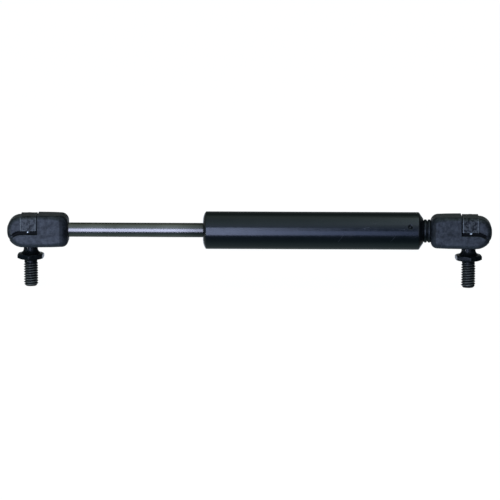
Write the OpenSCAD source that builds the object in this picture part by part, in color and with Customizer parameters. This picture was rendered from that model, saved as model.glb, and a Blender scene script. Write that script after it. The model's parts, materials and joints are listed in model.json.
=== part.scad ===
// Gas strut stay with a snap-on ball joint at each end.
// Origin: centre of the rod-end stud's seat face. X runs along the strut from the rod end to the tube end,
// Z runs up the rod-end stud from its seat to its ball. Drawn fully extended.

/* [Strut] */
// Working stroke, extended to compressed
stroke = 70; // [40:5:150]
// Diameter of the piston rod
rod_d = 8; // [7:0.5:8]
// Outer diameter of the pressure tube
tube_d = 21; // [20:0.5:23]
// Wall of the pressure tube
tube_wall = 1.5; // [1.2:0.1:1.6]
// Rod still showing when fully compressed
rod_gap = 4.9; // [3:0.1:8]

/* [Ball studs] */
// Diameter of the ball
ball_d = 13; // [12.8:0.1:13]
// Diameter of the neck under the ball
neck_d = 7.9; // [7:0.1:7.9]
// Major diameter of the stud's thread
thread_d = 7.94; // [6:0.02:8]
// Length of the threaded shank
shank_len = 15.45; // [10:0.05:30]
// Hexagon across flats
hex_af = 14; // [13:0.5:15]
// Thickness of the hexagon flange
hex_t = 2.9; // [2.5:0.1:4]
// Ball centre to the top of the hexagon
ball_to_hex = 13.3; // [13:0.1:16]
// How far the rod-end stud is turned
rod_stud_turn = -5; // [-30:1:30]
// How far the tube-end stud is turned
tube_stud_turn = 8; // [-30:1:30]

/* [End fittings] */
// Width and height of a fitting
fitting_w = 18; // [18:0.5:20]
// Ball centre to the fitting's outer end
fitting_nose = 13; // [12.5:0.5:15]
// Ball centre to the fitting's inner end
fitting_reach = 21.2; // [20:0.2:26]
// Width of the locking clip along the strut
clip_w = 9; // [7:0.2:9.4]
// Thickness of the locking clip
clip_t = 0.7; // [0.5:0.05:0.7]

/* [Hidden] */
$fn = 96;
arc_steps = 10;         // straight steps in each drawn arc
eps = 0.01;             // how far a cutter runs past the face that it opens
play = 0.05;            // radial play of every running and sliding fit

// Stack along the strut, in the strut's own frame: X from the rod-end ball centre, on the rod's axis
axis_z = ball_to_hex + hex_t;
dead_len = 52.3;          // tube length beyond the stroke: guide pack, piston and end plug
collar_len = 4.4;       // end plug's collar between the tube and its fitting
tube_len = stroke + dead_len;
tube_x = fitting_reach + stroke + rod_gap;
tube_end_x = tube_x + tube_len;
strut_len = tube_end_x + collar_len + fitting_reach;
tube_r = tube_d / 2;
bore_r = tube_r - tube_wall;
fit_r = bore_r - play;  // pieces that sit in the bore

// Rolled ends of the tube
lip_r = 4.9;            // hole in the rolled lip at the rod end
lip_dome_r = 10.8;      // radius of the lip's domed face
lip_dome_at = 4.5;      // distance of the dome's centre from the axis
lip_back = 2.7;         // tube end to the flat face of the guide pack
cone_len = 2.7;         // length of the rolled cone at the closed end
collar_r = 6.5;

// Guide pack
cover_t = 1.2;
guide_len = 10;
liner_r = 5;
seal_len = 6;
washer_t = 1.5;
cover_x = tube_x + lip_back;
guide_x = cover_x + cover_t;
seal_x = guide_x + guide_len;
seal_washer_x = seal_x + seal_len;
stop_x = seal_washer_x + washer_t;

// Piston
rod_r = rod_d / 2;
stop_gap = 0.2;         // piston to guide pack when fully extended
spigot_r = 2.5;
piston_len = 8;
piston_r = bore_r - 0.2;
ring_len = 2.6;
ring_depth = 2;
ring_side_gap = 0.2;
rear_washer_t = 1.2;
nut_t = 4;
nut_af = 8;
orifice_r = 0.4;
shoulder_x = stop_x + stop_gap;
piston_x = shoulder_x + washer_t;
rear_washer_x = piston_x + piston_len;
nut_x = rear_washer_x + rear_washer_t;
spigot_end_x = nut_x + nut_t + 0.5;

// Threaded ends inside the fittings
screw_end = 9;          // ball centre to the end of the screw
bore_end = 8.6;         // ball centre to the bottom of the tapped hole
screw_r = rod_r - 0.05;

// End plug
plug_len = 9;
groove_w = 2.4;
o_ring_r = 0.87;
o_ring_at = 2.6;        // plug face to the middle of its groove
punch_r = 1.3;          // round staking dimple that pins the plug
punch_depth = 0.45;
punch_ball_r = (punch_r * punch_r + punch_depth * punch_depth) / (2 * punch_depth);
punch_at = 7;           // from the tube's closed end
punch_angle = 22;       // above the tube's front line

// Fittings
half_w = fitting_w / 2;
taper = 0.25;           // draft of the top and the bottom towards the inner end
nose_r = 7.5;           // side view, outer end
heel_r = 4.3;           // side view, inner end
plan_r = 3.6;           // top view, all corners
edge_r = 2.7;           // end view, all corners
clip_seat = 1.15;       // depth of the clip's seat in the head
clip_mid = -0.9;        // clip's middle, from the ball's centre
clip_gap = 0.5;         // slot beside the clip for a screwdriver
ledge_z = -1.5;         // lower edge of the clip's seat
clip_foot = -0.75;      // lower edge of the clip
ledge_run = 4.2;        // straight part of that edge, outwards from the ball's centre
ledge_r = 9;            // curve that takes it down the nose
groove_h = 1.9;         // deeper groove along that edge
groove_t = 0.6;
pip_r = 0.55;
pip_in = 0.35;          // clip's pip into its groove
socket_r = ball_d / 2 + play;
lip_z = 3.3;            // socket's lip below the ball's centre
mouth_r = 6.55;         // socket's mouth at the bottom face
lift = 3;               // how far the clip lifts to free the ball

// Ball and stud
ball_r = ball_d / 2;
neck_r = neck_d / 2;
ball_cut = sqrt(ball_r * ball_r - neck_r * neck_r);
ball_flat = 0.3;        // small flat on top of the ball
neck_fillet = 2.8;
tip_chamfer = 0.9;
hex_chamfer = 0.5;

// Points of a circular arc
function arc(c, r, a0, a1, n = arc_steps) =
    [for (i = [0:n]) let (a = a0 + (a1 - a0) * i / n) [c[0] + r * cos(a), c[1] + r * sin(a)]];

// Rectangle from low to high with every corner rounded
function round_rect(low, high, r) = concat(
    arc([high[0] - r, high[1] - r], r, 0, 90),
    arc([low[0] + r, high[1] - r], r, 90, 180),
    arc([low[0] + r, low[1] + r], r, 180, 270),
    arc([high[0] - r, low[1] + r], r, 270, 360)
);

// A round piece about the strut's axis, starting at x
module ring_x(x, len, r_out, r_in = 0) {
    translate([x, 0, 0])
        rotate([0, 90, 0])
            difference() {
                cylinder(r = r_out, h = len);
                if (r_in > 0)
                    translate([0, 0, -eps]) cylinder(r = r_in, h = len + 2 * eps);
            }
}

// A turned piece about the strut's axis; each point is [radius, x]
module turned_x(points) {
    rotate([0, 90, 0]) rotate_extrude() polygon(points);
}

module on_axis() {
    translate([0, 0, axis_z]) children();
}

// The tube-end ball's centre, turned to face back along the strut
module at_tube_ball() {
    translate([strut_len, 0, axis_z]) rotate([0, 0, 180]) children();
}

// ---- ball studs, drawn about the ball's centre ----

module hex_flange() {
    flange_r = hex_af / 2 / cos(30);
    intersection() {
        cylinder(r = flange_r, h = hex_t, $fn = 6);
        rotate_extrude()
            polygon([
                [0, 0], [hex_af / 2 + 0.2, 0], [flange_r, hex_chamfer],
                [flange_r, hex_t - hex_chamfer], [hex_af / 2 + 0.2, hex_t], [0, hex_t]
            ]);
    }
}

module ball_stud() {
    ball_top = acos((ball_r - ball_flat) / ball_r);
    ball_foot = acos(-ball_cut / ball_r);
    fillet_top = -ball_to_hex + neck_fillet;
    rotate_extrude()
        polygon(concat(
            [[0, ball_r - ball_flat]],
            arc([0, 0], ball_r, 90 - ball_top, 90 - ball_foot, 3 * arc_steps),
            arc([neck_r + neck_fillet, fillet_top], neck_fillet, 180, 270),
            [[neck_r + neck_fillet, -ball_to_hex - eps], [0, -ball_to_hex - eps]]
        ));
    translate([0, 0, -axis_z]) rotate([0, 0, 30]) hex_flange();
    translate([0, 0, -axis_z - shank_len])
        rotate_extrude()
            polygon([
                [0, 0], [thread_d / 2 - tip_chamfer, 0], [thread_d / 2, tip_chamfer],
                [thread_d / 2, shank_len + eps], [0, shank_len + eps]
            ]);
}

module rod_ball_stud() {
    color("dimgray") on_axis() rotate([0, 0, rod_stud_turn]) ball_stud();
}

module tube_ball_stud() {
    color("dimgray") at_tube_ball() rotate([0, 0, tube_stud_turn]) ball_stud();
}

// ---- end fittings, drawn about the ball's centre with the rod towards +X ----

// The moulding's outside, every long face moved in by inset and the outer end by much less
module fitting_blank(inset = 0) {
    w = half_w - inset;
    nose = fitting_nose - inset / 8;
    side = concat(
        arc([-nose + nose_r, w - nose_r], nose_r, 90, 180),
        arc([-nose + nose_r, nose_r - w], nose_r, 180, 270),
        arc([fitting_reach - heel_r, heel_r - w + taper], heel_r, 270, 360),
        arc([fitting_reach - heel_r, w - taper - heel_r], heel_r, 0, 90)
    );
    intersection() {
        rotate([90, 0, 0]) linear_extrude(height = fitting_w + 2, center = true) polygon(side);
        linear_extrude(height = fitting_w + 2, center = true)
            polygon(round_rect([-nose, -w], [fitting_reach, w], plan_r));
        translate([-nose - 1, 0, 0])
            rotate([90, 0, 90])
                linear_extrude(height = fitting_nose + fitting_reach + 2)
                    polygon(round_rect([-w, -w], [w, w], edge_r - inset));
    }
}

// Side view of the part of the head that is set back for the clip
module seat_region() {
    far = 2 * fitting_w;
    edge = clip_mid + clip_w / 2 + clip_gap;
    rotate([90, 0, 0])
        linear_extrude(height = far, center = true)
            polygon(concat(
                [[edge, far], [edge, ledge_z]],
                arc([-ledge_run, ledge_z - ledge_r], ledge_r, 90, 180),
                [[-far, ledge_z - ledge_r], [-far, far]]
            ));
}

// Grooves that the clip's pips run in
module pip_grooves() {
    for (side = [-1, 1])
        translate([clip_mid, side * (half_w - clip_seat), 0])
            translate([-pip_r - play, -pip_in - play, -pip_r - play])
                cube([2 * (pip_r + play), 2 * (pip_in + play), 2 * (pip_r + play) + lift + 0.3]);
}

module socket() {
    rim_r = sqrt(socket_r * socket_r - lip_z * lip_z);
    flare = (mouth_r - rim_r) / (half_w - lip_z);
    sphere(r = socket_r);
    translate([0, 0, -half_w - 1])
        cylinder(r1 = mouth_r + flare, r2 = rim_r - flare * lip_z, h = half_w + 1);
}

module fitting() {
    difference() {
        union() {
            difference() {
                fitting_blank();
                seat_region();
            }
            intersection() {
                fitting_blank(clip_seat);
                translate([0, 0, groove_h]) seat_region();
            }
            intersection() {
                fitting_blank(clip_seat + groove_t);
                seat_region();
            }
        }
        socket();
        pip_grooves();
        ring_x(bore_end, fitting_reach, screw_r + 0.03);
        ring_x(fitting_reach - 1.5, 2, rod_r + 0.6);
    }
}

module clip() {
    outer = half_w - clip_seat + clip_t;
    inner = half_w - clip_seat + play;
    difference() {
        translate([clip_mid - clip_w / 2, 0, 0])
            rotate([90, 0, 90])
                linear_extrude(height = clip_w)
                    difference() {
                        polygon(round_rect([-outer, -outer], [outer, outer], edge_r - clip_seat + clip_t));
                        polygon(round_rect([-inner, -inner], [inner, inner], edge_r - clip_seat));
                    }
        translate([-fitting_w, -fitting_w, clip_foot - fitting_w]) cube([2 * fitting_w, 2 * fitting_w, fitting_w]);
    }
    for (side = [-1, 1]) {
        translate([clip_mid, side * (inner + eps), 0])
            rotate([side * 90, 0, 0]) cylinder(r1 = pip_r, r2 = pip_r - 0.2, h = pip_in);
        translate([clip_mid, side * (outer - eps), 0])
            rotate([-side * 90, 0, 0]) cylinder(r1 = pip_r, r2 = pip_r - 0.25, h = 0.25);
    }
}

module rod_fitting() {
    color("darkslategray") on_axis() fitting();
}

module rod_clip() {
    color("slategray") on_axis() clip();
}

module tube_fitting() {
    color("darkslategray") at_tube_ball() fitting();
}

module tube_clip() {
    color("slategray") at_tube_ball() clip();
}

// ---- rod and piston, on the strut's axis ----

module piston_rod() {
    chamfer = 0.5;
    color("silver")
        on_axis()
            turned_x([
                [0, screw_end], [screw_r - chamfer, screw_end], [screw_r, screw_end + chamfer],
                [screw_r, fitting_reach - 1.5], [rod_r, fitting_reach - 1.5],
                [rod_r, shoulder_x], [spigot_r, shoulder_x],
                [spigot_r, spigot_end_x], [0, spigot_end_x]
            ]);
}

module piston_front_washer() {
    color("lightsteelblue") on_axis() ring_x(shoulder_x, washer_t, 7.2, spigot_r + play);
}

module piston() {
    groove_x = piston_x + (piston_len - ring_len) / 2 - ring_side_gap;
    groove_r = piston_r - ring_depth;
    color("goldenrod")
        on_axis()
            difference() {
                turned_x([
                    [spigot_r + play, piston_x], [piston_r - 0.4, piston_x], [piston_r, piston_x + 0.4],
                    [piston_r, groove_x], [groove_r, groove_x],
                    [groove_r, groove_x + ring_len + 2 * ring_side_gap],
                    [piston_r, groove_x + ring_len + 2 * ring_side_gap],
                    [piston_r, rear_washer_x - 0.4], [piston_r - 0.4, rear_washer_x],
                    [spigot_r + play, rear_washer_x]
                ]);
                translate([0, 0, 4.6]) ring_x(piston_x - 1, piston_len + 2, orifice_r);
            }
}

module piston_ring() {
    color("black")
        on_axis()
            ring_x(piston_x + (piston_len - ring_len) / 2, ring_len, fit_r, piston_r - ring_depth + 0.15);
}

module piston_rear_washer() {
    color("lightsteelblue") on_axis() ring_x(rear_washer_x, rear_washer_t, 4.4, spigot_r + play);
}

module piston_nut() {
    color("gray")
        on_axis()
            translate([nut_x, 0, 0])
                rotate([0, 90, 0])
                    difference() {
                        intersection() {
                            cylinder(r = nut_af / 2 / cos(30), h = nut_t, $fn = 6);
                            cylinder(r1 = nut_af / 2 + 4, r2 = nut_af / 2 + 0.1, h = nut_t);
                        }
                        translate([0, 0, -eps]) cylinder(r = spigot_r + play, h = nut_t + 2 * eps);
                    }
}

// ---- cylinder, on the strut's axis ----

// Height of the lip's domed face above the tube's end, at radius r; t moves it in by the wall
function lip_x(r, t = 0) =
    lip_dome_r - sqrt((lip_dome_r - t) * (lip_dome_r - t) - (r - lip_dome_at) * (r - lip_dome_at));

module pressure_tube() {
    steps = 8;
    face = [for (i = [0:steps]) let (r = lip_r + (tube_r - 0.3 - lip_r) * i / steps) [r, tube_x + lip_x(r)]];
    back = [for (i = [0:steps]) let (r = bore_r + (lip_r - bore_r) * i / steps) [r, tube_x + lip_x(r, tube_wall)]];
    roll_in = collar_r + play;
    color("dimgray")
        on_axis()
            difference() {
                turned_x(concat(
                    face,
                    [[tube_r, tube_x + lip_x(tube_r - 0.3) + 0.5]],
                    arc([tube_r - 1.5, tube_end_x - cone_len - 0.3], 1.5, 0, 55, 5),
                    [[roll_in + 0.4, tube_end_x], [roll_in, tube_end_x - 0.3], [roll_in, tube_end_x - 1.7]],
                    [[bore_r, tube_end_x - cone_len - 0.6]],
                    back
                ));
                translate([tube_end_x - punch_at, 0, 0])
                    rotate([90 - punch_angle, 0, 0])
                        translate([0, 0, tube_r - punch_depth + punch_ball_r]) sphere(r = punch_ball_r);
            }
}

module cover_washer() {
    color("silver") on_axis() ring_x(cover_x, cover_t, fit_r, rod_r + 0.3);
}

module rod_guide() {
    groove_r = fit_r - 0.8;
    groove_1 = guide_x + 2.2;
    groove_2 = guide_x + 5.8;
    color("ivory")
        on_axis()
            turned_x([
                [liner_r + play, guide_x], [fit_r, guide_x],
                [fit_r, groove_1], [groove_r, groove_1], [groove_r, groove_1 + 2], [fit_r, groove_1 + 2],
                [fit_r, groove_2], [groove_r, groove_2], [groove_r, groove_2 + 2], [fit_r, groove_2 + 2],
                [fit_r, seal_x], [liner_r + play, seal_x]
            ]);
}

module guide_liner() {
    color("darkgoldenrod") on_axis() ring_x(guide_x, guide_len, liner_r, rod_r + play);
}

module rod_seal() {
    lip_in = rod_r + 0.02;
    color("black")
        on_axis()
            turned_x([
                [rod_r + 0.5, seal_x], [fit_r - 0.4, seal_x], [fit_r, seal_x + 0.8],
                [fit_r, seal_washer_x - 0.4], [fit_r - 0.6, seal_washer_x],
                [6.9, seal_washer_x - 2.6], [5.9, seal_washer_x - 2.6],
                [lip_in + 0.5, seal_washer_x], [lip_in, seal_washer_x - 0.6],
                [rod_r + 0.35, seal_x + 3], [lip_in, seal_x + 1.2]
            ]);
}

module seal_washer() {
    color("silver") on_axis() ring_x(seal_washer_x, washer_t, fit_r, rod_r + 0.3);
}

module end_plug() {
    plug_x = tube_end_x - cone_len - 0.6 - plug_len + 0.3;
    groove_x = plug_x + o_ring_at - groove_w / 2;
    groove_r = fit_r - 2 * o_ring_r - play;
    collar_end = tube_end_x + collar_len;
    middle = tube_end_x + collar_len / 2;
    color("gray")
        on_axis()
            turned_x([
                [0, plug_x], [fit_r - 0.5, plug_x], [fit_r, plug_x + 0.5],
                [fit_r, groove_x], [groove_r, groove_x],
                [groove_r, groove_x + groove_w], [fit_r, groove_x + groove_w],
                [fit_r, tube_end_x - cone_len - 0.75], [collar_r, tube_end_x - 1.85],
                [collar_r, middle - 0.35], [collar_r - 0.35, middle], [collar_r, middle + 0.35],
                [collar_r, collar_end - 0.3], [collar_r - 0.3, collar_end],
                [screw_r, collar_end], [screw_r, strut_len - screw_end - 0.5],
                [screw_r - 0.5, strut_len - screw_end], [0, strut_len - screw_end]
            ]);
}

module end_o_ring() {
    plug_x = tube_end_x - cone_len - 0.6 - plug_len + 0.3;
    color("black")
        on_axis()
            translate([plug_x + o_ring_at, 0, 0])
                rotate([0, 90, 0])
                    rotate_extrude() translate([fit_r - o_ring_r, 0]) circle(r = o_ring_r, $fn = 32);
}

rod_ball_stud();
rod_fitting();
rod_clip();
piston_rod();
piston_front_washer();
piston();
piston_ring();
piston_rear_washer();
piston_nut();
pressure_tube();
cover_washer();
rod_guide();
guide_liner();
rod_seal();
seal_washer();
end_plug();
end_o_ring();
tube_fitting();
tube_clip();
tube_ball_stud();
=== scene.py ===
import json
import math

import bpy
import numpy as np
from mathutils import Matrix, Vector


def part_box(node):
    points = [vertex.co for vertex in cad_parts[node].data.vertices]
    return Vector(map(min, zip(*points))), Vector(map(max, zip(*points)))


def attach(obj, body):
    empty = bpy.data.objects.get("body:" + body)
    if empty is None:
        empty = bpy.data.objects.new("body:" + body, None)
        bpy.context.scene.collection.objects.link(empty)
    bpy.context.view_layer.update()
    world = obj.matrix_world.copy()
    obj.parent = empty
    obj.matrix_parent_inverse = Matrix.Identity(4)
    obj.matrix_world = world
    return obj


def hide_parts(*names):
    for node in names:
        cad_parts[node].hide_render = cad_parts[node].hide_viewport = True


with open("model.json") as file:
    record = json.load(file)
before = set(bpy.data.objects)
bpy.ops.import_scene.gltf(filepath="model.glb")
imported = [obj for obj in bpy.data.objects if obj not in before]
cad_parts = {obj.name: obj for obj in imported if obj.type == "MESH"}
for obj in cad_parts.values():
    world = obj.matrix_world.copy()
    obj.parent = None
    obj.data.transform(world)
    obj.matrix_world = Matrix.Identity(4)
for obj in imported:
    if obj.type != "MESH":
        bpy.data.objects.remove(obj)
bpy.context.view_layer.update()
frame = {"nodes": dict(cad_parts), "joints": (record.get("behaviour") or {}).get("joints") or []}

MM = 0.001
NODES = frame["nodes"]

# ---------------------------------------------------------------- sizes, in mm, from the frame

def node_box(name):
    lo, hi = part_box(name)
    return np.array(lo) * 1000.0, np.array(hi) * 1000.0


joint = {j["name"]: j for j in frame["joints"]}
ROD_BALL = np.array(joint["rod_end_swivel"]["pos_m"]) * 1000.0
TUBE_BALL = np.array(joint["tube_end_swivel"]["pos_m"]) * 1000.0
AXIS_Z = ROD_BALL[2]

fit_lo, fit_hi = node_box("rod_fitting")
HALF_W = (fit_hi[1] - fit_lo[1]) / 2
NOSE = -fit_lo[0]
REACH = fit_hi[0]
clip_lo, clip_hi = node_box("rod_clip")
CLIP_MID = (clip_lo[0] + clip_hi[0]) / 2
CLIP_W = clip_hi[0] - clip_lo[0]
CLIP_FOOT = clip_lo[2] - AXIS_Z
PLAY = 0.05
# the clip's seat in the head: its depth, the slot beside it, the ledge below it and the groove along that
SEAT = 1.15
SLOT = 0.5
LEDGE = -1.5
LEDGE_RUN, LEDGE_R = 4.2, 9.0
GROOVE_H, GROOVE_T = 1.9, 0.75
# the socket, its lip and mouth, and the rod's or plug's hole with the recess round it
SOCKET_R = 6.55
LIP_Z, MOUTH_R = 3.3, 6.55
SCREW_R, SCREW_END = 3.98, 8.6
RECESS_R, RECESS_DEPTH = 4.6, 1.5
# the clip: its strap and raised rims, the tongue below the strap, and the pip
CLIP_T = 0.7
CLIP_BEND_R = 1.9
STRAP_END = 0.45
RIM, RIM_IN = 0.09, 0.45
TONGUE_HALF, TONGUE_LEAN = 0.9, 0.6
PIP_OFF, PIP_Z, PIP_R, PIP_SUNK = 0.1, -0.1, 0.62, 0.45
# the pins at the ends of the rod and the plug
PIN_R, PIN_TIP_R, PIN_BEVEL = 3.95, 3.45, 0.5

# ---------------------------------------------------------------- smooth solids from distance fields


def smax(a, b, k):
    h = np.maximum(k - np.abs(a - b), 0.0) / k
    return np.maximum(a, b) + h * h * k * 0.25


def smin(a, b, k):
    return -smax(-a, -b, k)


def rounded(parts, r):
    """Intersection of the half-spaces or shapes in parts, its edges rounded by r."""
    out, inner = 0.0, None
    for d in parts:
        q = d + r
        out = out + np.maximum(q, 0.0) ** 2
        inner = q if inner is None else np.maximum(inner, q)
    return np.sqrt(out) + np.minimum(inner, 0.0) - r


def box_profile(u, v, u0, u1, half, r_low, r_high):
    """A 2D box from u0 to u1. r_low and r_high are its corner radii at u0 and u1, each below and above."""
    mid, hw = (u0 + u1) / 2, (u1 - u0) / 2
    r = np.where(u < mid, np.where(v < 0, r_low[0], r_low[1]), np.where(v < 0, r_high[0], r_high[1]))
    a, b = np.abs(u - mid) - hw + r, np.abs(v) - half + r
    return np.sqrt(np.maximum(a, 0) ** 2 + np.maximum(b, 0) ** 2) + np.minimum(np.maximum(a, b), 0) - r


def surface(field, lo, hi, step, steps=4):
    """The zero surface of field as (vertices, quads): surface nets, then each vertex moved onto it."""
    ax = [np.arange(l - 2.5 * step, h + 3.5 * step, step) for l, h in zip(lo, hi)]
    f = field(ax[0][:, None, None], ax[1][None, :, None], ax[2][None, None, :])
    f = np.broadcast_to(f, tuple(len(a) for a in ax)).astype(np.float64)
    shape = np.array(f.shape) - 1
    total = np.zeros((*shape, 3))
    count = np.zeros(shape)
    edges = []
    for k in range(3):
        a = [slice(None)] * 3
        b = [slice(None)] * 3
        a[k], b[k] = slice(0, -1), slice(1, None)
        f0, f1 = f[tuple(a)], f[tuple(b)]
        at = np.argwhere((f0 < 0) != (f1 < 0))
        v0, v1 = f0[tuple(at.T)], f1[tuple(at.T)]
        p = at.astype(float)
        p[:, k] += v0 / (v0 - v1)
        u, w = (k + 1) % 3, (k + 2) % 3
        for du in (0, -1):
            for dw in (0, -1):
                c = at.copy()
                c[:, u] += du
                c[:, w] += dw
                good = np.all((c >= 0) & (c < shape), axis=1)
                np.add.at(total, tuple(c[good].T), p[good])
                np.add.at(count, tuple(c[good].T), 1)
        edges.append((k, at, v0 < 0))
    live = np.argwhere(count > 0)
    index = -np.ones(shape, int)
    index[tuple(live.T)] = np.arange(len(live))
    v = total[tuple(live.T)] / count[tuple(live.T)][:, None]
    v = np.array([a[0] for a in ax]) + v * step
    quads = []
    for k, at, low_inside in edges:
        u, w = (k + 1) % 3, (k + 2) % 3
        ring = []
        for du, dw in ((0, 0), (-1, 0), (-1, -1), (0, -1)):
            c = at.copy()
            c[:, u] += du
            c[:, w] += dw
            ring.append(index[tuple(np.clip(c, 0, shape - 1).T)])
        q = np.stack(ring, axis=1)
        q[~low_inside] = q[~low_inside][:, ::-1]
        quads.append(q[np.all(q >= 0, axis=1)])
    e = step * 0.05
    for _ in range(steps):
        x, y, z = v.T
        d = field(x, y, z)
        g = np.stack([
            field(x + e, y, z) - field(x - e, y, z),
            field(x, y + e, z) - field(x, y - e, z),
            field(x, y, z + e) - field(x, y, z - e),
        ], axis=1) / (2 * e)
        n2 = np.maximum((g ** 2).sum(1), 0.05)
        v = v - np.clip(d / n2, -0.4 * step, 0.4 * step)[:, None] * g
    return v, np.concatenate(quads)


def make(name, v, faces, body, node, material, place=None, values=None):
    """A piece from vertices in mm and faces, riding on body in the place of a CAD node."""
    v = np.asarray(v, float)
    if place is not None:
        v = place(v)
    me = bpy.data.meshes.new(name)
    me.from_pydata((v * MM).tolist(), [], [list(map(int, f)) for f in faces])
    for key, value in (values or {}).items():
        me.attributes.new(key, "FLOAT", "POINT").data.foreach_set("value", value)
    me.validate()
    me.update()
    me.polygons.foreach_set("use_smooth", np.ones(len(me.polygons), bool))
    me.materials.append(material)
    ob = bpy.data.objects.new(name, me)
    bpy.context.scene.collection.objects.link(ob)
    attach(ob, body)
    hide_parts(node)
    return ob


def at_rod(v):
    return v + ROD_BALL


def at_tube(v):
    return v * np.array([-1.0, -1.0, 1.0]) + TUBE_BALL


# ---------------------------------------------------------------- materials

def ramp(t, fac, stops):
    r = t.nodes.new("ShaderNodeValToRGB")
    while len(r.color_ramp.elements) > 1:
        r.color_ramp.elements.remove(r.color_ramp.elements[0])
    first = True
    for pos, c in stops:
        e = r.color_ramp.elements[0] if first else r.color_ramp.elements.new(pos)
        e.position = pos
        e.color = (c, c, c, 1.0) if isinstance(c, (int, float)) else (*c, 1.0)
        first = False
    t.links.new(fac, r.inputs["Fac"])
    return r.outputs["Color"]


def plug_in(t, socket, value):
    """Set a node's input to a number or a colour, or link an output to it."""
    if isinstance(value, (int, float)):
        socket.default_value = value
    elif isinstance(value, tuple):
        socket.default_value = (*value, 1.0)
    else:
        t.links.new(value, socket)


def math_node(t, op, a, b=0.0):
    n = t.nodes.new("ShaderNodeMath")
    n.operation = op
    plug_in(t, n.inputs[0], a)
    plug_in(t, n.inputs[1], b)
    return n.outputs[0]


def mix_node(t, fac, a, b):
    n = t.nodes.new("ShaderNodeMix")
    n.data_type = "RGBA"
    for key, value in ((0, fac), (6, a), (7, b)):
        plug_in(t, n.inputs[key], value)
    return n.outputs[2]


class Mat:
    """A Principled material with short calls for the noise, mixing and bump that it needs."""

    def __init__(self, name, color, rough, metallic=0.0, spec=0.5):
        self.m = bpy.data.materials.new(name)
        self.m.use_nodes = True
        self.t = self.m.node_tree
        self.p = next(n for n in self.t.nodes if n.type == "BSDF_PRINCIPLED")
        self.set("Base Color", (*color, 1.0))
        self.set("Roughness", rough)
        self.set("Metallic", metallic)
        self.set("Specular IOR Level", spec)
        self.where = self.t.nodes.new("ShaderNodeTexCoord").outputs["Object"]
        self.normal = None
        self.m.diffuse_color = (*color, 1.0)

    def set(self, key, value):
        self.p.inputs[key].default_value = value

    def noise(self, size_mm, detail=3.0, rough=0.55, stretch=(1, 1, 1), shift=(0, 0, 0)):
        """Noise with features of about size_mm, drawn out along X, Y and Z by stretch."""
        place = self.t.nodes.new("ShaderNodeMapping")
        place.inputs["Scale"].default_value = [1000.0 / size_mm / s for s in stretch]
        place.inputs["Location"].default_value = shift
        self.t.links.new(self.where, place.inputs["Vector"])
        n = self.t.nodes.new("ShaderNodeTexNoise")
        n.inputs["Scale"].default_value = 1.0
        n.inputs["Detail"].default_value = detail
        n.inputs["Roughness"].default_value = rough
        self.t.links.new(place.outputs["Vector"], n.inputs["Vector"])
        return n.outputs["Fac"]

    def math(self, op, a, b=0.0):
        return math_node(self.t, op, a, b)

    def mix(self, fac, a, b):
        return mix_node(self.t, fac, a, b)

    def near(self, point_mm, radius_mm, soft=0.35):
        """1 within radius of a point, falling to 0."""
        n = self.t.nodes.new("ShaderNodeVectorMath")
        n.operation = "DISTANCE"
        n.inputs[1].default_value = [c * MM for c in point_mm]
        self.t.links.new(self.where, n.inputs[0])
        share = self.math("DIVIDE", n.outputs["Value"], 2 * radius_mm * MM)
        return ramp(self.t, share, [(0.5 - soft / 2, 1.0), (0.5 + soft / 2, 0.0)])

    def scratch(self, x, z, angle, length, width=0.22):
        """1 along a short straight scratch on the front, centred at x and z and rising at angle degrees."""
        c, s = math.cos(math.radians(angle)), math.sin(math.radians(angle))
        dx, dz = (self.math("SUBTRACT", self.axis(k), at * MM) for k, at in ((0, x), (2, z)))
        along = self.math("ADD", self.math("MULTIPLY", dx, c), self.math("MULTIPLY", dz, s))
        off = self.math("SUBTRACT", self.math("MULTIPLY", dz, c), self.math("MULTIPLY", dx, s))
        near = self.math("LESS_THAN", self.math("ABSOLUTE", off), width / 2 * MM)
        recess_shade = self.math("LESS_THAN", self.math("ABSOLUTE", along), length / 2 * MM)
        front = self.math("LESS_THAN", self.axis(1), 0.0)
        return self.math("MULTIPLY", front, self.math("MULTIPLY", near, recess_shade))

    def axis(self, k):
        n = self.t.nodes.new("ShaderNodeSeparateXYZ")
        self.t.links.new(self.where, n.inputs[0])
        return n.outputs[k]

    def attribute(self, name):
        n = self.t.nodes.new("ShaderNodeAttribute")
        n.attribute_name = name
        return n.outputs["Fac"]

    def edges(self, low=0.51, high=0.6):
        g = self.t.nodes.new("ShaderNodeNewGeometry")
        return ramp(self.t, g.outputs["Pointiness"], [(low, 0.0), (high, 1.0)])

    def link(self, key, socket):
        self.t.links.new(socket, self.p.inputs[key])

    def bump(self, height, distance_mm, strength=1.0):
        n = self.t.nodes.new("ShaderNodeBump")
        n.inputs["Strength"].default_value = strength
        n.inputs["Distance"].default_value = distance_mm * MM
        self.t.links.new(height, n.inputs["Height"])
        if self.normal is not None:
            self.t.links.new(self.normal, n.inputs["Normal"])
        self.normal = n.outputs["Normal"]
        self.t.links.new(self.normal, self.p.inputs["Normal"])


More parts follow.
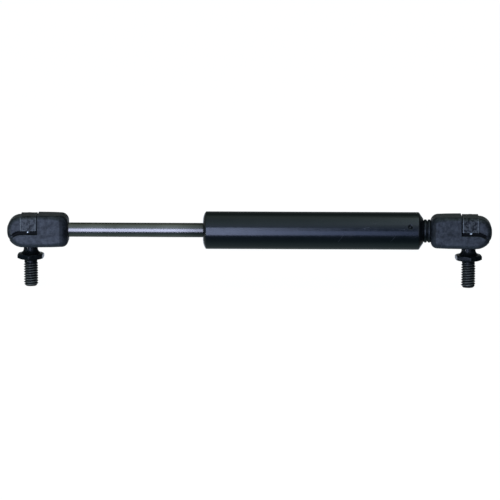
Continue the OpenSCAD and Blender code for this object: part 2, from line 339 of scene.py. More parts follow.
def moulding():
    m = Mat("moulded_black", (0.012, 0.013, 0.014), 0.46, spec=0.4)
    cloud = m.noise(2.4, 4, 0.6)
    grain = m.noise(0.9, 3, 0.7)
    fine = m.noise(0.35, 3, 0.65)
    clouds = ramp(m.t, cloud, [(0.36, 0.0), (0.64, 1.0)])
    base = m.mix(clouds, (0.005, 0.006, 0.0065), (0.018, 0.020, 0.022))
    speck = ramp(m.t, grain, [(0.56, 0.0), (0.70, 1.0)])
    worn = m.mix(m.math("MULTIPLY", speck, 0.6), base, (0.040, 0.043, 0.048))
    worn = m.mix(m.math("MULTIPLY", m.edges(), 0.4), worn, (0.04, 0.042, 0.044))
    # painted highlight: the colour is lighter towards the bottom of the head, standing in for a brighter
    # reflection there; from here worn holds the speck and edge wear and this painted highlight
    low = ramp(m.t, m.math("MULTIPLY", m.axis(2), 50.0), [(0.38, 1.0), (0.74, 0.0)])
    worn = m.mix(m.math("MULTIPLY", low, 0.58), worn, (0.048, 0.052, 0.058))
    # painted shade: deep in the recesses the colour is darkened and the sheen lowered
    recess_shade = ramp(m.t, m.math("MULTIPLY", m.attribute("recess"), 0.3), [(0.42, 0.0), (0.56, 1.0)])
    m.link("Base Color", m.mix(recess_shade, worn, (0.003, 0.0032, 0.0035)))
    sheen = m.math("ADD", m.math("MULTIPLY", cloud, 0.55), m.math("MULTIPLY", grain, 0.45))
    sheen = ramp(m.t, sheen, [(0.40, 0.27), (0.60, 0.56)])
    # painted shade: the sheen is lowered on the heel band at the inner end of the head
    sheen = m.mix(m.attribute("heel"), sheen, (0.13, 0.13, 0.13))
    m.link("Specular IOR Level", m.mix(recess_shade, sheen, (0.06, 0.06, 0.06)))
    m.link("Roughness", ramp(m.t, grain, [(0.3, 0.34), (0.7, 0.54)]))
    m.bump(fine, 0.05, 0.55)
    m.bump(grain, 0.12, 0.5)
    m.bump(m.noise(3.4, 2, 0.5), 0.10, 0.35)
    return m.m


def clip_steel():
    m = Mat("clip_blackened", (0.02, 0.02, 0.022), 0.42, spec=0.42)
    blot = m.noise(1.5, 4, 0.65)
    grit = m.noise(0.5, 3, 0.6)
    blots = ramp(m.t, blot, [(0.42, 0.0), (0.58, 1.0)])
    base = m.mix(blots, (0.003, 0.0035, 0.0035), (0.045, 0.046, 0.043))
    patchy = ramp(m.t, m.noise(1.1, 3), [(0.40, 0.2), (0.58, 1.0)])
    rub = m.math("MULTIPLY", m.edges(0.51, 0.58), patchy)
    # worn holds the bare steel pip, and the rims, which are partly wear and partly a painted highlight
    worn = m.math("MAXIMUM", m.math("MULTIPLY", rub, 0.5), m.attribute("worn"))
    m.link("Base Color", m.mix(worn, base, (0.85, 0.86, 0.84)))
    m.link("Metallic", m.math("MULTIPLY", worn, 0.9))
    # painted shade: the sheen is lowered on the clip's top, over its upper bend
    top_shade = ramp(m.t, m.math("MULTIPLY", m.axis(2), 25.0), [(0.575, 0.0), (0.605, 1.0)])
    sheen = ramp(m.t, blot, [(0.42, 0.18), (0.58, 0.56)])
    m.link("Specular IOR Level", m.mix(top_shade, sheen, (0.15, 0.15, 0.15)))
    m.link("Roughness", ramp(m.t, blot, [(0.35, 0.30), (0.65, 0.56)]))
    m.bump(blot, 0.14, 0.6)
    m.bump(grit, 0.04, 0.5)
    return m.m


# x, z, angle in degrees and length of the scratches on the tube's front
TUBE_SCRATCHES = ((172.8, 13.6, 54, 5.0), (201.6, 13.2, 50, 4.2), (187.0, 19.5, 12, 3.0))


def tube_paint():
    m = Mat("tube_black", (0.004, 0.005, 0.0055), 0.16, spec=0.5)
    drift = m.noise(22, 3, 0.5, stretch=(2.5, 1, 1))
    peel = m.noise(1.6, 2, 0.5, stretch=(1.6, 1, 1))
    scratch = ramp(m.t, m.noise(1.0, 2, 0.4, stretch=(14, 0.35, 0.35)), [(0.70, 0.0), (0.74, 1.0)])
    patch = ramp(m.t, m.noise(15, 2, 0.5, shift=(3, 1, 2)), [(0.52, 0.0), (0.62, 1.0)])
    marks = m.math("MULTIPLY", scratch, patch)
    drifts = ramp(m.t, drift, [(0.35, 0.0), (0.65, 1.0)])
    base = m.mix(drifts, (0.0034, 0.0042, 0.0046), (0.0048, 0.0056, 0.0064))
    for line in TUBE_SCRATCHES:
        marks = m.math("MAXIMUM", marks, m.math("MULTIPLY", m.scratch(*line), 0.7))
    m.link("Base Color", m.mix(m.math("MULTIPLY", marks, 0.6), base, (0.035, 0.036, 0.042)))
    # painted shade: the sheen is lowered in a ring round the punch mark, less so at its middle
    middle = ramp(m.t, m.near(PUNCH, 0.6, 0.5), [(0.0, 1.0), (1.0, 0.25)])
    ring = m.math("MULTIPLY", m.near(PUNCH, 1.25, 0.3), middle)
    m.link("Specular IOR Level", ramp(m.t, ring, [(0.0, 0.5), (1.0, 0.08)]))
    dust = ramp(m.t, m.noise(5, 4, 0.65), [(0.35, 0.15), (0.7, 0.21)])
    m.link("Roughness", m.math("ADD", dust, m.math("MULTIPLY", marks, 0.25)))
    m.bump(peel, 0.02, 0.35)
    m.bump(drift, 0.4, 0.12)
    return m.m


def rod_steel():
    m = Mat("rod_nitrided", (0.23, 0.20, 0.16), 0.24, metallic=1.0)
    turned = m.noise(0.5, 3, 0.6, stretch=(0.5, 8, 8))
    along = m.noise(1.2, 3, 0.6, stretch=(30, 0.5, 0.5))
    film = m.noise(9, 4, 0.6, stretch=(2.0, 1, 1))
    films = ramp(m.t, film, [(0.36, 0.0), (0.66, 1.0)])
    tone = m.mix(films, (0.190, 0.170, 0.152), (0.255, 0.226, 0.202))
    lines = m.math("MULTIPLY", ramp(m.t, along, [(0.5, 0.0), (0.8, 1.0)]), 0.4)
    tone = m.mix(lines, tone, (0.31, 0.275, 0.25))
    # darker towards the tube end
    towards_tube = ramp(m.t, m.math("MULTIPLY", m.axis(0), 10.0), [(0.80, 0.0), (0.95, 1.0)])
    m.link("Base Color", m.mix(m.math("MULTIPLY", towards_tube, 0.6), tone, (0.06, 0.055, 0.05)))
    polish = ramp(m.t, film, [(0.3, 0.18), (0.7, 0.27)])
    m.link("Roughness", m.math("ADD", polish, m.math("MULTIPLY", along, 0.06)))
    m.bump(turned, 0.004, 0.6)
    return m.m


def stud_steel():
    m = Mat("stud_black_zinc", (0.006, 0.007, 0.007), 0.2, spec=0.16)
    blot = m.noise(1.6, 4, 0.65)
    uneven = ramp(m.t, m.noise(1.3, 3, 0.6), [(0.34, 0.45), (0.6, 1.0)])
    worn = m.math("MULTIPLY", m.attribute("worn"), uneven)
    blots = ramp(m.t, blot, [(0.38, 0.0), (0.66, 1.0)])
    base = m.mix(blots, (0.003, 0.004, 0.004), (0.008, 0.009, 0.009))
    patchy = ramp(m.t, m.noise(0.9, 3), [(0.40, 0.15), (0.62, 1.0)])
    rub = m.math("MULTIPLY", m.edges(0.53, 0.66), patchy)
    base = m.mix(m.math("MULTIPLY", rub, 0.6), base, (0.05, 0.05, 0.052))
    m.link("Base Color", m.mix(worn, base, (0.20, 0.195, 0.165)))
    m.link("Metallic", m.math("MULTIPLY", worn, 0.85))
    polish = ramp(m.t, blot, [(0.3, 0.12), (0.7, 0.20)])
    m.link("Roughness", m.math("ADD", polish, m.math("MULTIPLY", worn, 0.18)))
    m.bump(m.noise(0.35, 3, 0.6), 0.02, 0.4)
    return m.m


def plug_steel():
    m = Mat("plug_turned", (0.01, 0.011, 0.011), 0.28, spec=0.3)
    rings = m.noise(0.22, 2, 0.5, stretch=(1, 30, 30))
    stain = m.noise(2.2, 4, 0.6)
    stained = ramp(m.t, stain, [(0.38, 0.0), (0.66, 1.0)])
    m.link("Base Color", m.mix(stained, (0.004, 0.005, 0.005), (0.014, 0.015, 0.016)))
    m.link("Roughness", ramp(m.t, stain, [(0.3, 0.24), (0.7, 0.4)]))
    m.bump(rings, 0.012, 0.7)
    return m.m


def simple(name, low, high, rough, metallic, grain_mm, stretch=(1, 1, 1), bump_mm=0.02):
    m = Mat(name, low, rough, metallic=metallic)
    cloud = m.noise(grain_mm * 5, 4, 0.6)
    fine = m.noise(grain_mm, 3, 0.6, stretch=stretch)
    m.link("Base Color", m.mix(ramp(m.t, cloud, [(0.35, 0.0), (0.68, 1.0)]), low, high))
    m.link("Roughness", ramp(m.t, fine, [(0.3, rough - 0.06), (0.7, rough + 0.08)]))
    m.bump(fine, bump_mm, 0.5)
    return m.m


tube_lo, tube_hi = node_box("pressure_tube")
T0, T1 = tube_lo[0], tube_hi[0]
TUBE_R = min(tube_hi[2] - AXIS_Z, AXIS_Z - tube_lo[2], tube_hi[1], -tube_lo[1])
PUNCH_X, PUNCH_R, PUNCH_DEPTH = T1 - 7.0, 1.3, 0.45
PUNCH_RING, PUNCH_SOFT = 0.85, 0.33
PUNCH_ANGLE = math.radians(22)
PUNCH = (PUNCH_X, -10.49 * math.cos(PUNCH_ANGLE), AXIS_Z + 10.49 * math.sin(PUNCH_ANGLE))
MOULD, CLIP, TUBE, ROD = moulding(), clip_steel(), tube_paint(), rod_steel()
STUD, PLUG = stud_steel(), plug_steel()
WASHER = ((0.42, 0.42, 0.43), (0.55, 0.55, 0.57))
DISC = ((0.40, 0.40, 0.42), (0.52, 0.52, 0.55))
NITRILE = ((0.014, 0.014, 0.015), (0.026, 0.026, 0.027))
# CAD nodes that stay: material, dark and light colour, roughness, metallic, grain in mm, its stretch
INNER = {
    "cover_washer": ("washer_cover", *WASHER, 0.32, 1.0, 0.3, (30, 1, 1)),
    "seal_washer": ("washer_seal", *WASHER, 0.34, 1.0, 0.3, (30, 1, 1)),
    "piston_front_washer": ("washer_front", *DISC, 0.3, 1.0, 0.3, (30, 1, 1)),
    "piston_rear_washer": ("washer_rear", *DISC, 0.3, 1.0, 0.3, (30, 1, 1)),
    "piston_nut": ("nut_steel", (0.30, 0.30, 0.31), (0.44, 0.44, 0.46), 0.36, 1.0, 0.4, (1, 1, 1)),
    "piston": ("piston_alloy", (0.52, 0.52, 0.54), (0.66, 0.66, 0.68), 0.38, 1.0, 0.25, (1, 20, 20)),
    "piston_ring": ("ring_ptfe", (0.07, 0.06, 0.05), (0.12, 0.10, 0.08), 0.5, 0.0, 0.4, (1, 1, 1)),
    "rod_guide": ("guide_nylon", (0.62, 0.60, 0.53), (0.74, 0.72, 0.65), 0.45, 0.0, 0.6, (1, 1, 1)),
    "guide_liner": ("liner_bronze", (0.42, 0.27, 0.12), (0.58, 0.40, 0.20), 0.42, 1.0, 0.2, (1, 1, 1)),
    "rod_seal": ("seal_nitrile", *NITRILE, 0.6, 0.0, 0.3, (1, 1, 1)),
    "end_o_ring": ("o_ring_nitrile", *NITRILE, 0.55, 0.0, 0.3, (1, 1, 1)),
}
for node, (name, low, high, rough, metal, grain, stretch) in INNER.items():
    ob = NODES[node]
    ob.data.materials.clear()
    ob.data.materials.append(simple(name, low, high, rough, metal, grain, stretch))

# ---------------------------------------------------------------- end fittings and clips

TAPER = 0.25
EDGE_R, PLAN_R, NOSE_R, HEEL_R = 2.6, 3.8, (8.6, 6.9), (3.4, 4.2)
SLOT_EDGE = CLIP_MID + CLIP_W / 2 + SLOT


def blank(x, y, z, inset):
    """The fitting's rounded block, with its upper half set in by inset."""
    w = HALF_W - inset
    half = np.where(z > 0, w, HALF_W) - TAPER * np.clip(x / REACH, 0.0, 1.0)
    side = box_profile(x, z, -NOSE + inset / 8, REACH, half, NOSE_R, HEEL_R)
    towards = np.clip((-x - 3.0) / 8.0, 0, 1)
    away = np.clip((x - REACH + 9.0) / 7.0, 0, 1)
    r = EDGE_R - inset * 0.6 + (PLAN_R - EDGE_R) * np.maximum(towards, away)
    return rounded((side, np.abs(y) - w), r)


def seat_region(x, z):
    """Below 0 on the part of the head, seen from the side, that is set back for the clip."""
    qx, qz = -x - LEDGE_RUN, z - LEDGE + LEDGE_R
    corner = np.sqrt(np.maximum(qx, 0) ** 2 + np.maximum(qz, 0) ** 2)
    block = corner + np.minimum(np.maximum(qx, qz), 0) - LEDGE_R
    return smax(x - SLOT_EDGE, -block, 0.4)


def fitting_field(x, y, z):
    body = smax(blank(x, y, z, 0.0), -seat_region(x, z), 0.45)
    upper = smax(blank(x, y, z, SEAT), seat_region(x, z - GROOVE_H), 0.25)
    d = smin(body, smin(upper, blank(x, y, z, SEAT + GROOVE_T), 0.3), 0.3)
    d = smax(d, -(np.sqrt(x * x + y * y + z * z) - SOCKET_R), 0.3)
    rim = math.sqrt(SOCKET_R ** 2 - LIP_Z ** 2)
    flare = (MOUTH_R - rim) / (HALF_W - LIP_Z)
    cone = (np.sqrt(x * x + y * y) - (rim + flare * (-z - LIP_Z))) / math.sqrt(1 + flare * flare)
    d = smax(d, -smax(cone, z, 0.3), 0.7)
    radial = np.sqrt(y * y + z * z)
    d = smax(d, -smax(radial - SCREW_R, SCREW_END - x, 0.2), 0.2)
    d = smax(d, -smax(radial - RECESS_R, REACH - RECESS_DEPTH - x, 0.2), 0.35)
    return d


def clip_field(x, y, z):
    across = np.abs(x - CLIP_MID)
    mid = HALF_W - SEAT + (CLIP_T + PLAY) / 2
    bend = TONGUE_LEAN * np.clip(0.4 - z, 0.0, None)
    radii = (CLIP_BEND_R, CLIP_BEND_R)
    ring = np.abs(box_profile(np.abs(y) + bend, z, -mid, mid, mid, radii, radii)) - (CLIP_T - PLAY) / 2
    rim = RIM * np.clip(1.0 - np.abs(across - CLIP_W / 2 + RIM_IN) / 0.4, 0.0, 1.0)
    strap = rounded((ring - rim, across - CLIP_W / 2, STRAP_END - z), 0.18)
    at_pip = x - CLIP_MID + PIP_OFF
    tongue = rounded((ring, np.abs(at_pip) - TONGUE_HALF, CLIP_FOOT - z), 0.2)
    outer = mid + (CLIP_T - PLAY) / 2
    pip = np.sqrt(at_pip ** 2 + (np.abs(y) - outer + PIP_SUNK) ** 2 + (z - PIP_Z) ** 2) - PIP_R
    return smin(smin(strap, tongue, 0.3), pip, 0.1)


v, q = surface(fitting_field, (-NOSE, -HALF_W, -HALF_W), (REACH, HALF_W, HALF_W), 0.3)
# how deep each vertex lies inside the block, which the moulding uses for its painted shade in the recesses
depth = -blank(*v.T, 0.0)
# each head's heel band of painted shade: how far it runs from the inner end and how strong it is
for name, body, node, place, heel_shade_run, heel_shade in (
    ("rod_end_fitting", "rod", "rod_fitting", at_rod, 4.9, 1.0),
    ("tube_end_fitting", "cylinder", "tube_fitting", at_tube, 3.2, 0.85),
):
    heel = np.clip((v[:, 0] - REACH + heel_shade_run) / 0.5, 0.0, 1.0) * heel_shade
    make(name, v, q, body, node, MOULD, place, {"recess": depth, "heel": heel})

clip_from = (CLIP_MID - CLIP_W / 2, -HALF_W, CLIP_FOOT)
clip_to = (CLIP_MID + CLIP_W / 2, HALF_W, HALF_W)
v, q = surface(clip_field, clip_from, clip_to, 0.16)
to_pip = np.sqrt((v[:, 0] - CLIP_MID + PIP_OFF) ** 2 + (v[:, 2] - PIP_Z) ** 2)
to_rim = np.abs(np.abs(v[:, 0] - CLIP_MID) - CLIP_W / 2 + 0.35)
out_of_seat = np.abs(v[:, 1]) - HALF_W + SEAT
pip_shine = np.clip(1.5 - to_pip / 0.42, 0.0, 1.0) * (out_of_seat > 0.4)
# the strap's rims are lighter: rubbed bare steel, and also a painted highlight along its edges
rim_wear_and_highlight = 0.13 * np.clip(1.3 - to_rim / 0.3, 0.0, 1.0) * (out_of_seat > 0.45)
shine = np.maximum(pip_shine, rim_wear_and_highlight)
make("rod_end_clip", v, q, "rod_clip", "rod_clip", CLIP, at_rod, {"worn": shine})
make("tube_end_clip", v, q, "tube_clip", "tube_clip", CLIP, at_tube, {"worn": shine})

# ---------------------------------------------------------------- turned pieces


def grid_faces(rows, cols, closed=False):
    """Quads between the rows of a grid. It closes round its columns, and end to end too if closed."""
    i = np.arange(rows if closed else rows - 1)[:, None]
    j = np.arange(cols)[None, :]
    a = (i % rows) * cols + j
    b = ((i + 1) % rows) * cols + j
    c = ((i + 1) % rows) * cols + (j + 1) % cols
    d = (i % rows) * cols + (j + 1) % cols
    return np.stack([a, b, c, d], axis=-1).reshape(-1, 4).tolist()


def beside(profile, closed, gap=0.12):
    """The profile with a point close to each end of its longer segments, so that they shade flat."""
    out = []
    n = len(profile)
    for i, p in enumerate(profile):
        p = np.array(p, float)
        out.append(p)
        if i == n - 1 and not closed:
            break
        q = np.array(profile[(i + 1) % n], float)
        length = np.linalg.norm(q - p)
        if length > 6 * gap:
            out += [p + (q - p) * gap / length, q + (p - q) * gap / length]
    return out


def turned(profile, cols=160, cap=True):
    """A solid turned about X from [x, radius] pairs. Its two ends are capped, or it closes on itself."""
    p = np.array(beside(profile, not cap), float)
    a = np.arange(cols) * 2 * math.pi / cols
    v = np.stack([
        np.repeat(p[:, :1], cols, 1),
        p[:, 1:] * np.cos(a),
        p[:, 1:] * np.sin(a),
    ], axis=-1).reshape(-1, 3)
    faces = grid_faces(len(p), cols, closed=not cap)
    if cap:
        n = len(v)
        v = np.concatenate([v, [[p[0, 0], 0, 0], [p[-1, 0], 0, 0]]])
        last = (len(p) - 1) * cols
        faces += [[n, j, (j + 1) % cols] for j in range(cols)]
        faces += [[n + 1, last + (j + 1) % cols, last + j] for j in range(cols)]
    return v, [face[::-1] for face in faces]


def fillet(points, r, steps=5):
    """A polyline with its inner corners rounded; r is one radius or one for each point."""
    out = []
    n = len(points)
    rs = r if isinstance(r, (list, tuple)) else [r] * n
    for i, p in enumerate(points):
        p = np.array(p, float)
        if i in (0, n - 1) or rs[i] <= 0:
            out.append(p)
            continue
        a, b = np.array(points[i - 1], float) - p, np.array(points[i + 1], float) - p
        la, lb = np.linalg.norm(a), np.linalg.norm(b)
        a, b = a / la, b / lb
        half = math.acos(np.clip(a @ b, -1, 1)) / 2
        if half > 1.56:
            out.append(p)
            continue
        back = min(rs[i] / math.tan(half), la * 0.48, lb * 0.48)
        radius = back * math.tan(half)
        centre = p + (a + b) / np.linalg.norm(a + b) * radius / math.sin(half)
        s, e = p + a * back - centre, p + b * back - centre
        sweep = math.pi - 2 * half
        for k in range(steps + 1):
            t = k / steps
            out.append(centre + (s * math.sin((1 - t) * sweep) + e * math.sin(t * sweep)) / math.sin(sweep))
    return out


def on_axis(v):
    return v + np.array([0.0, 0.0, AXIS_Z])


def spaced(a, b, step):
    """Even positions from a to b, about step apart."""
    n = max(1, int(abs(b - a) / step))
    return [a + (b - a) * k / n for k in range(n + 1)]


rod_lo, rod_hi = node_box("piston_rod")
SHOULDER = node_box("piston_front_washer")[0][0]
ROD_R = (rod_hi[2] - rod_lo[2]) / 2
SPIGOT_R = 2.5
PIN_END = REACH - RECESS_DEPTH
rod_profile = fillet([
    (rod_lo[0], PIN_TIP_R), (rod_lo[0] + PIN_BEVEL, PIN_R), (PIN_END, PIN_R), (PIN_END, ROD_R),
    (SHOULDER, ROD_R), (SHOULDER, SPIGOT_R), (rod_hi[0], SPIGOT_R),
], [0, 0, 0, 0, 0.15, 0, 0])
v, f = turned(rod_profile)
make("polished_rod", v, f, "rod", "piston_rod", ROD, on_axis)

WALL = 1.5
BORE_R = TUBE_R - WALL
CONE = 2.7
TAIL = T1 + 0.4
TAIL_OUT_R, TAIL_IN_R = 6.85, 6.56
LIP_R, DOME_R, DOME_AT = 4.9, 10.8, 4.5


def lip(r):
    """How far behind the tube's front the lip's face is at radius r."""
    return 0.0112 * (r - DOME_AT) ** 2.8


def lip_back(r):
    """The same for the inside of the lip."""
    return DOME_R - math.sqrt((DOME_R - WALL) ** 2 - (r - DOME_AT) ** 2)


front = [(T0 + lip_back(r), r) for r in spaced(BORE_R, LIP_R, 0.5)]
front += [(T0 + lip(r), r) for r in spaced(LIP_R, TUBE_R - 0.35, 0.3)]
shoulder = T0 + lip(TUBE_R - 0.35)
outer = [(shoulder + 0.28, TUBE_R - 0.09), (shoulder + 0.65, TUBE_R)]
outer += [(x, TUBE_R) for x in spaced(shoulder + 2.0, PUNCH_X - 2.2, 3.0)]
outer += [(x, TUBE_R) for x in spaced(PUNCH_X - 2.0, PUNCH_X + 2.0, 0.14)]
roll = fillet([
    (PUNCH_X + 2.2, TUBE_R), (TAIL - 2.55, TUBE_R), (TAIL - 0.1, TAIL_OUT_R),
    (TAIL - 0.3, TAIL_IN_R), (T1 - 1.7, TAIL_IN_R), (T1 - CONE - 0.6, BORE_R),
], [0, 1.1, 0.3, 0.1, 0.1, 0.1], steps=8)
v, f = turned(front + outer + [tuple(p) for p in roll] + [(T1 - CONE - 4, BORE_R)], cols=288, cap=False)
axis_dir = np.array([0.0, -math.cos(PUNCH_ANGLE), math.sin(PUNCH_ANGLE)])
rel = v - np.array([PUNCH_X, 0, 0])
side = rel - np.outer(rel @ axis_dir, axis_dir)
gap = np.linalg.norm(side, axis=1)
hit = (gap < PUNCH_R + 0.5) & (rel @ axis_dir > 0) & (np.linalg.norm(v[:, 1:], axis=1) > TUBE_R - 0.01)
bowl = -PUNCH_DEPTH * np.exp(-((gap - PUNCH_RING) / PUNCH_SOFT) ** 2)
v[hit] += np.outer(bowl[hit], axis_dir)
make("painted_tube", v, f, "cylinder", "pressure_tube", TUBE, on_axis)

plug_lo, plug_hi = node_box("end_plug")
P0, P1 = plug_lo[0], plug_hi[0]
FIT_R = BORE_R - PLAY
COLLAR_R = 6.5
COLLAR_END = TUBE_BALL[0] - REACH
COLLAR_MID = (T1 + COLLAR_END) / 2
O_MID, O_HALF, O_RING_T = P0 + 2.6, 1.2, 1.74
GROOVE_R = FIT_R - O_RING_T - PLAY
plug_profile = [
    (P0, 8.4), (P0 + 0.5, FIT_R), (O_MID - O_HALF, FIT_R), (O_MID - O_HALF, GROOVE_R),
    (O_MID + O_HALF, GROOVE_R), (O_MID + O_HALF, FIT_R), (T1 - CONE - 0.75, FIT_R), (T1 - 1.85, COLLAR_R),
]
# the collar's two ribs: middle and half length
RIBS = (
    ((TAIL + COLLAR_MID) / 2 + 0.1, (COLLAR_MID - TAIL) / 2 + 0.15),
    ((COLLAR_END + COLLAR_MID) / 2 + 0.25, (COLLAR_END - COLLAR_MID) / 2 - 0.15),
)
bead = [
    (x, COLLAR_R - 0.75 * abs((x - mid) / half) ** 3)
    for mid, half in RIBS for x in spaced(mid - half, mid + half, 0.16)
]
plug_profile += [(T1 - 0.9, COLLAR_R)] + [p for p in bead if p[0] > TAIL - 0.3]
plug_profile += [(COLLAR_END, PIN_R), (P1 - PIN_BEVEL, PIN_R), (P1, PIN_TIP_R)]
v, f = turned(plug_profile)
make("grooved_plug", v, f, "cylinder", "end_plug", PLUG, on_axis)

# ---------------------------------------------------------------- ball studs

SHANK = -node_box("rod_ball_stud")[0][2]
HEX_AF, HEX_T = 14.0, 2.9
BALL_R, NECK_R, BALL_TO_HEX, NECK_FILLET = 6.5, 3.95, 13.3, 2.8
PITCH, MAJOR_R, MINOR_R = 1.411, 3.97, 3.18
COLS = 180


def stud_mesh(turn_deg):
    """A ball stud about Z, its ball's centre at the origin, as one grid from the ball's top to the tip.
    Its third result is how far each vertex is worn bright."""
    a = np.arange(COLS) * 2 * math.pi / COLS
    rows = []
    worn = []

    def ring(r, z, bright=0.0):
        r, z, bright = (np.broadcast_to(np.asarray(value, float), a.shape) for value in (r, z, bright))
        rows.append((r, z))
        worn.append(bright)

    top = BALL_R - 0.3
    ring(0.02, top)
    start = math.acos(top / BALL_R)
    cut = math.acos(-math.sqrt(BALL_R ** 2 - NECK_R ** 2) / BALL_R)
    for t in np.linspace(start, cut, 44):
        ring(BALL_R * math.sin(t), BALL_R * math.cos(t))
    for t in np.linspace(0.0, 1.0, 4)[1:]:
        z0 = BALL_R * math.cos(cut)
        ring(NECK_R, z0 + t * (-BALL_TO_HEX + NECK_FILLET - z0))
    for t in np.linspace(0.08, 0.92, 10) * math.pi / 2:
        ring(NECK_R + NECK_FILLET * (1 - math.cos(t)), -BALL_TO_HEX + NECK_FILLET * (1 - math.sin(t)))
    flat = np.abs((a % (math.pi / 3)) - math.pi / 6)
    hexr = HEX_AF / 2 / np.cos(math.pi / 6 - flat)
    hexr = np.minimum(hexr, HEX_AF / 2 / math.cos(math.pi / 6) * 0.992)
    circle = HEX_AF / 2 - 0.12
    z_top, z_low = -BALL_TO_HEX, -BALL_TO_HEX - HEX_T

    def cone(r):
        return np.maximum(r - circle, 0) * math.tan(math.radians(28))

    ring(circle - 0.25, z_top)
    ring(circle, z_top - 0.03)
    ring(hexr - 0.14, z_top - cone(hexr - 0.14) - 0.02)
    ring(hexr - 0.03, z_top - cone(hexr) - 0.07)
    ring(hexr, z_top - cone(hexr) - 0.2)
    for t in (0.35, 0.65):
        ring(hexr, z_top - cone(hexr) + (z_low - z_top + 2 * cone(hexr)) * t)
    ring(hexr, z_low + cone(hexr) + 0.2)
    ring(hexr - 0.03, z_low + cone(hexr) + 0.07)
    ring(hexr - 0.14, z_low + cone(hexr - 0.14) + 0.02)
    ring(circle, z_low + 0.03)
    ring(circle - 0.25, z_low)
    ring(4.35, z_low)
    for t in np.linspace(0.0, 1.0, 4):
        ring(3.75 + 0.5 * (1 - math.sin(t * math.pi / 2)), z_low - 0.5 * (1 - math.cos(t * math.pi / 2)))
    n = int(SHANK / 0.1)
    for i in range(6, n + 1):
        d = SHANK * i / n
        phase = (d / PITCH + a / (2 * math.pi)) % 1.0
        saw = np.abs(phase - 0.5) * 2
        form = np.clip((saw - 0.10) / 0.72, 0.0, 1.0)
        thread = MINOR_R + (MAJOR_R - MINOR_R) * form
        runout = np.clip((d - 1.8) / 1.2, 0.0, 1.0)
        plain = 3.62 + 0.13 * np.clip((1.0 - d) / 0.6, 0.0, 1.0)
        r = plain + (thread - plain) * runout
        bevel = MAJOR_R - np.clip(d - (SHANK - 1.1), 0.0, None) * 0.9
        crest = np.clip(form * 1.6 - 0.6, 0.0, 1.0) * runout
        ring(np.minimum(r, bevel), z_low - d, crest * (0.35 + 0.65 * i / n))
    ring(2.3, z_low - SHANK)
    ring(0.02, z_low - SHANK)
    r = np.stack([p[0] for p in rows])
    z = np.stack([p[1] for p in rows])
    b = a + math.radians(turn_deg)
    v = np.stack([r * np.cos(b), r * np.sin(b), z], axis=-1).reshape(-1, 3)
    faces = grid_faces(len(rows), COLS)
    last = (len(rows) - 1) * COLS
    faces.append(list(range(COLS)))
    faces.append(list(range(last + COLS - 1, last - 1, -1)))
    return v, faces, np.stack(worn).reshape(-1)


for name, body, node, ball, turn in (
    ("rod_end_ball_stud", "rod_stud", "rod_ball_stud", ROD_BALL, -5),
    ("tube_end_ball_stud", "tube_stud", "tube_ball_stud", TUBE_BALL, 188),
):
    v, f, worn = stud_mesh(turn)
    make(name, v, f, body, node, STUD, lambda p, c=ball: p + c, {"worn": worn})

# ---------------------------------------------------------------- floor, light and camera


def plane(name, centre, size):
    me = bpy.data.meshes.new(name)
    h = size / 2
    me.from_pydata([(-h, -h, 0), (h, -h, 0), (h, h, 0), (-h, h, 0)], [], [(0, 1, 2, 3)])
    ob = bpy.data.objects.new(name, me)
    ob.location = centre
    bpy.context.scene.collection.objects.link(ob)
    return ob


def floor_paper():
    m = Mat("floor_paper", (0.12, 0.12, 0.12), 0.9, spec=0.05)
    m.set("Emission Color", (1.0, 1.0, 1.0, 1.0))
    m.set("Emission Strength", 0.97)
    grain = m.noise(1.2, 3)
    m.bump(grain, 0.05, 0.1)
    return m.m


floor = plane("floor", (0.12, 0.0, -0.0158), 60.0)
floor.data.materials.append(floor_paper())
floor.visible_glossy = False
floor.visible_diffuse = False
floor.visible_shadow = False


def area(name, centre, target, width, height, power, color):
    data = bpy.data.lights.new(name, "AREA")
    data.shape = "RECTANGLE"
    data.size, data.size_y = width, height
    data.energy = power
    data.color = color
    ob = bpy.data.objects.new(name, data)
    ob.location = centre
    ob.rotation_mode = "QUATERNION"
    ob.rotation_quaternion = (Vector(target) - Vector(centre)).to_track_quat("-Z", "Y")
    bpy.context.scene.collection.objects.link(ob)
    return ob


def window(name, x0, x1, z0, z1, y, radiance):
    """A soft upright window that faces the object, as a rectangle of even radiance."""
    centre = ((x0 + x1) / 2, y, (z0 + z1) / 2)
    target = (centre[0], 0.0, centre[2])
    width, height, strength = x1 - x0, z1 - z0, max(radiance)
    power = strength * math.pi * width * height
    return area(name, centre, target, width, height, power, [c / strength for c in radiance])


FRONT = -1.0
for name, x0, x1, z0, z1, y, radiance in (
    ("window_left", -0.62, 0.0, -0.37, 0.49, FRONT, (2.05, 2.4, 3.5)),
    ("window_middle", 0.0, 0.055, -0.37, 0.49, FRONT, (4.2, 5.0, 7.2)),
    ("window_right", 0.055, 0.129, -0.37, 0.49, FRONT, (2.9, 3.4, 5.3)),
    ("window_edge", 0.129, 0.238, -0.30, 0.14, FRONT, (0.75, 1.0, 1.9)),
    ("window_far", 0.38, 0.85, -0.37, 0.49, FRONT, (0.62, 0.72, 0.95)),
    ("glint", -1.22, -1.06, -0.36, -0.16, FRONT, (30.0, 33.0, 35.0)),
    ("window_back", -0.5, 0.75, -0.55, -0.02, 1.2, (0.5, 0.56, 0.7)),
):
    window(name, x0, x1, z0, z1, y, radiance)
OVER_W, OVER_H = 0.34, 1.0
over_at, over_to = (0.42, -0.35, 1.0), (0.42, 0.0, 0.016)
area("overhead_right", over_at, over_to, OVER_W, OVER_H, math.pi * OVER_W * OVER_H, (0.72, 0.88, 1.0))

world = bpy.data.worlds.new("studio")
world.use_nodes = True
bpy.context.scene.world = world
wt = world.node_tree


background = next(n for n in wt.nodes if n.type == "BACKGROUND")
split = wt.nodes.new("ShaderNodeSeparateXYZ")
wt.links.new(wt.nodes.new("ShaderNodeTexCoord").outputs["Generated"], split.inputs[0])
to_front = math_node(wt, "MULTIPLY", split.outputs["Y"], -1.0)
turn = math_node(wt, "ARCTAN2", split.outputs["Z"], to_front)
fraction = math_node(wt, "ADD", math_node(wt, "DIVIDE", turn, 2 * math.pi), 0.5)
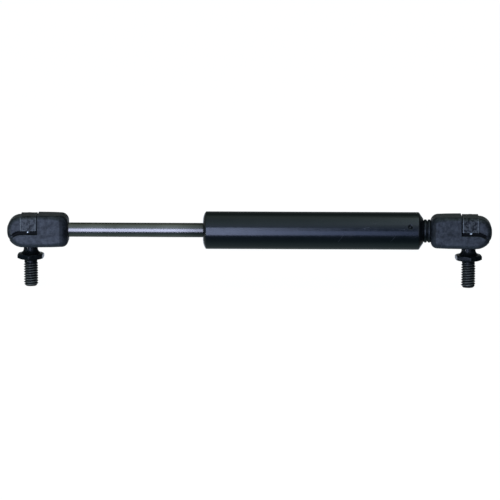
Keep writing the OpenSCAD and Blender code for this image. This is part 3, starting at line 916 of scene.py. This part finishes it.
# the room's brightness by the angle about X, in degrees from straight ahead of the object and up
SKY_BELOW = [
    (-180, (0.20, 0.22, 0.22)), (-140, (0.22, 0.26, 0.26)),
    (-112, (0.19, 0.25, 0.27)), (-84, (0.18, 0.28, 0.29)),
]
SKY_BEHIND = [
    (115, (0.10, 0.15, 0.13)), (130, (0.04, 0.06, 0.05)),
    (155, (0.12, 0.14, 0.14)), (180, (0.20, 0.22, 0.22)),
]
SKY_LEFT = SKY_BELOW + [
    (-60, (0.14, 0.22, 0.24)), (-38, (0.07, 0.12, 0.17)), (-22, (0.12, 0.2, 0.36)), (20, (0.16, 0.28, 0.5)),
    (36, (0.55, 0.72, 0.95)), (55, (0.38, 0.56, 0.56)), (76, (0.25, 0.33, 0.38)), (99, (0.31, 0.41, 0.37)),
] + SKY_BEHIND
SKY_RIGHT = SKY_BELOW + [
    (-60, (0.03, 0.07, 0.08)), (-38, (0.01, 0.04, 0.04)), (-22, (0.06, 0.10, 0.17)), (20, (0.10, 0.17, 0.30)),
    (36, (0.48, 0.62, 0.78)), (55, (0.50, 0.66, 0.80)), (76, (0.48, 0.66, 0.70)), (99, (0.42, 0.54, 0.48)),
] + SKY_BEHIND


def sky_ramp(stops):
    return ramp(wt, fraction, [((angle + 180) / 360, c) for angle, c in stops])


across = math_node(wt, "ADD", math_node(wt, "MULTIPLY", split.outputs["X"], 0.5), 0.5)
to_right = ramp(wt, across, [(0.485, 0.0), (0.505, 1.0)])
sky = mix_node(wt, to_right, sky_ramp(SKY_LEFT), sky_ramp(SKY_RIGHT))
dim = ramp(wt, across, [(0.60, 0.0), (0.85, 0.8)])
sky = mix_node(wt, dim, sky, (0.03, 0.035, 0.04))
wt.links.new(sky, background.inputs["Color"])
background.inputs["Strength"].default_value = 1.0

FOCAL_PX, SENSOR, FRAME_PX = 3591.4, 36.0, 500.0
CAMERA_AT = (0.15026, -1.96893, 0.36726)
cam_data = bpy.data.cameras.new("camera")
cam_data.sensor_width = SENSOR
cam_data.lens = SENSOR * FOCAL_PX / FRAME_PX
cam_data.clip_start, cam_data.clip_end = 0.05, 100.0
cam = bpy.data.objects.new("camera", cam_data)
bpy.context.scene.collection.objects.link(cam)
YAW, DOWN, ROLL = math.radians(-0.8134), math.radians(10.423), math.radians(0.0882)
ahead = Vector((math.sin(YAW) * math.cos(DOWN), math.cos(YAW) * math.cos(DOWN), -math.sin(DOWN)))
right = Vector((math.cos(YAW), -math.sin(YAW), 0.0))
up = right.cross(ahead)
r2 = right * math.cos(ROLL) + up * math.sin(ROLL)
u2 = -right * math.sin(ROLL) + up * math.cos(ROLL)
facing = Matrix((r2, u2, -ahead)).transposed().to_4x4()
cam.matrix_world = Matrix.Translation(CAMERA_AT) @ facing
bpy.context.scene.camera = cam
bpy.context.scene.view_settings.view_transform = "Standard"
bpy.context.scene.view_settings.look = "None"
